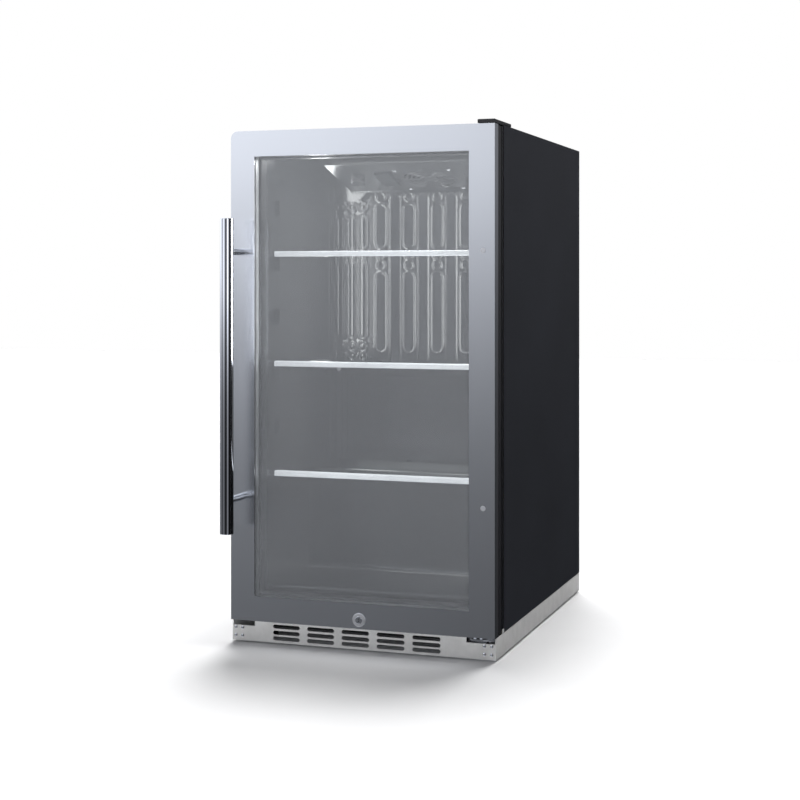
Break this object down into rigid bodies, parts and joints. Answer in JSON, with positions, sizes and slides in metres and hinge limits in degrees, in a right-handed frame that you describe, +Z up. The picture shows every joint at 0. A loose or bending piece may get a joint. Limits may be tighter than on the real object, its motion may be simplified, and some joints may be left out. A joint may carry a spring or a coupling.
{
  "type": "undercounter refrigerator",
  "caption": "Compact built-in refrigerator with a framed glass door, tubular handle, sliding glass shelves, vented base and a compressor bay at the rear.",
  "frame": {"origin": "on the floor under the middle of the overall box, handle included", "axes": "+X to the right seen from the front, +Y towards the rear, +Z up"},
  "size_m": [0.45, 0.6675, 0.847],
  "materials": {
    "black_steel": "matte black powder coat, fine texture",
    "stainless": "fine vertical brushed grain",
    "base_steel": "plain light grey stainless sheet",
    "galvanised": "galvanised sheet",
    "black_plastic": "moulded black plastic",
    "liner_plastic": "glossy vacuum-formed black liner",
    "foam": "expanded polyurethane foam",
    "glass": "clear tempered glass",
    "white_trim": "white extruded trim",
    "gasket_rubber": "soft magnetic gasket",
    "polished_steel": "polished stainless",
    "zinc_screws": "bright plated fastener",
    "aluminium": "mill aluminium",
    "copper": "drawn copper tube",
    "compressor_paint": "gloss black enamel",
    "grey_plastic": "moulded grey plastic",
    "lens": "frosted lamp lens"
  },
  "bodies": {
    "cabinet": {"outer_wrap": "black_steel", "rear_panel": "galvanised", "bay_partition": "galvanised", "inner_liner": "liner_plastic", "foam_insulation": "foam", "kickplate": "base_steel", "base_sides": "base_steel", "base_pan": "galvanised", "foot_sockets": "galvanised", "bottom_hinge_bracket": "polished_steel", "hinge_pins": "polished_steel", "top_hinge_plate": "polished_steel", "top_hinge_cover": "black_plastic", "evaporator_plate": "liner_plastic", "drip_gutter": "liner_plastic", "lower_back_panel": "liner_plastic", "evaporator_coil": "aluminium", "fan_cover": "black_plastic", "light_lens": "lens", "thermostat_body": "grey_plastic", "evaporator_fan_motor": "black_plastic", "interior_screws": "zinc_screws", "compressor": "compressor_paint", "compressor_grommets": "gasket_rubber", "relay_box": "grey_plastic", "condenser_coil": "compressor_paint", "condenser_shroud": "grey_plastic", "condenser_fan_motor": "black_plastic", "drain_pan": "grey_plastic", "drain_tube": "grey_plastic", "refrigerant_lines": "copper", "bay_cover": "galvanised", "power_inlet": "black_plastic", "cabinet_screws": "zinc_screws"},
    "door": {"door_skin": "stainless", "door_frame": "black_plastic", "glass_panes": "glass", "glass_spacer": "aluminium", "gasket": "gasket_rubber", "handle_bar": "stainless", "handle_posts": "polished_steel", "handle_screws": "zinc_screws", "hole_plugs": "polished_steel", "hinge_bushes": "grey_plastic", "lock_housing": "polished_steel"},
    "lock": {"lock_plug": "polished_steel", "lock_cam": "zinc_screws"},
    "evaporator_fan": {"evaporator_fan": "black_plastic"},
    "condenser_fan": {"condenser_fan": "grey_plastic"},
    "thermostat_knob": {"thermostat_knob": "black_plastic"},
    "shelf_lower": {"shelf_glass_lower": "glass", "shelf_trim_lower": "white_trim"},
    "shelf_middle": {"shelf_glass_middle": "glass", "shelf_trim_middle": "white_trim"},
    "shelf_upper": {"shelf_glass_upper": "glass", "shelf_trim_upper": "white_trim"},
    "foot_front_left": {"foot_front_left": "black_plastic"},
    "foot_front_right": {"foot_front_right": "black_plastic"},
    "foot_rear_left": {"foot_rear_left": "black_plastic"},
    "foot_rear_right": {"foot_rear_right": "black_plastic"}
  },
  "joints": [
    {"name": "door_hinge", "type": "hinge", "parent": "cabinet", "child": "door", "pos_m": [0.213, -0.24625, 0.438], "axis": [0, 0, 1], "range_deg": [0, 115]},
    {"name": "lock_turn", "type": "hinge", "parent": "door", "child": "lock", "pos_m": [0, -0.26625, 0.052], "axis": [0, 1, 0], "range_deg": [0, 90]},
    {"name": "evaporator_fan_spin", "type": "hinge", "parent": "cabinet", "child": "evaporator_fan", "pos_m": [0.015, 0.05307, 0.78106], "axis": [0, -0.2757, -0.9613], "continuous": true},
    {"name": "condenser_fan_spin", "type": "hinge", "parent": "cabinet", "child": "condenser_fan", "pos_m": [-0.125, 0.10775, 0.124], "axis": [0, -1, 0], "continuous": true},
    {"name": "thermostat_turn", "type": "hinge", "parent": "cabinet", "child": "thermostat_knob", "pos_m": [-0.118, 0.04373, 0.7775], "axis": [0, -0.2757, -0.9613], "range_deg": [0, 270]},
    {"name": "shelf_lower_slide", "type": "slide", "parent": "cabinet", "child": "shelf_lower", "axis": [0, -1, 0], "range_m": [0, 0.035]},
    {"name": "shelf_middle_slide", "type": "slide", "parent": "cabinet", "child": "shelf_middle", "axis": [0, -1, 0], "range_m": [0, 0.035]},
    {"name": "shelf_upper_slide", "type": "slide", "parent": "cabinet", "child": "shelf_upper", "axis": [0, -1, 0], "range_m": [0, 0.035]},
    {"name": "foot_front_left_adjust", "type": "slide", "parent": "cabinet", "child": "foot_front_left", "axis": [0, 0, -1], "range_m": [0, 0.012]},
    {"name": "foot_front_right_adjust", "type": "slide", "parent": "cabinet", "child": "foot_front_right", "axis": [0, 0, -1], "range_m": [0, 0.012]},
    {"name": "foot_rear_left_adjust", "type": "slide", "parent": "cabinet", "child": "foot_rear_left", "axis": [0, 0, -1], "range_m": [0, 0.012]},
    {"name": "foot_rear_right_adjust", "type": "slide", "parent": "cabinet", "child": "foot_rear_right", "axis": [0, 0, -1], "range_m": [0, 0.012]}
  ]
}
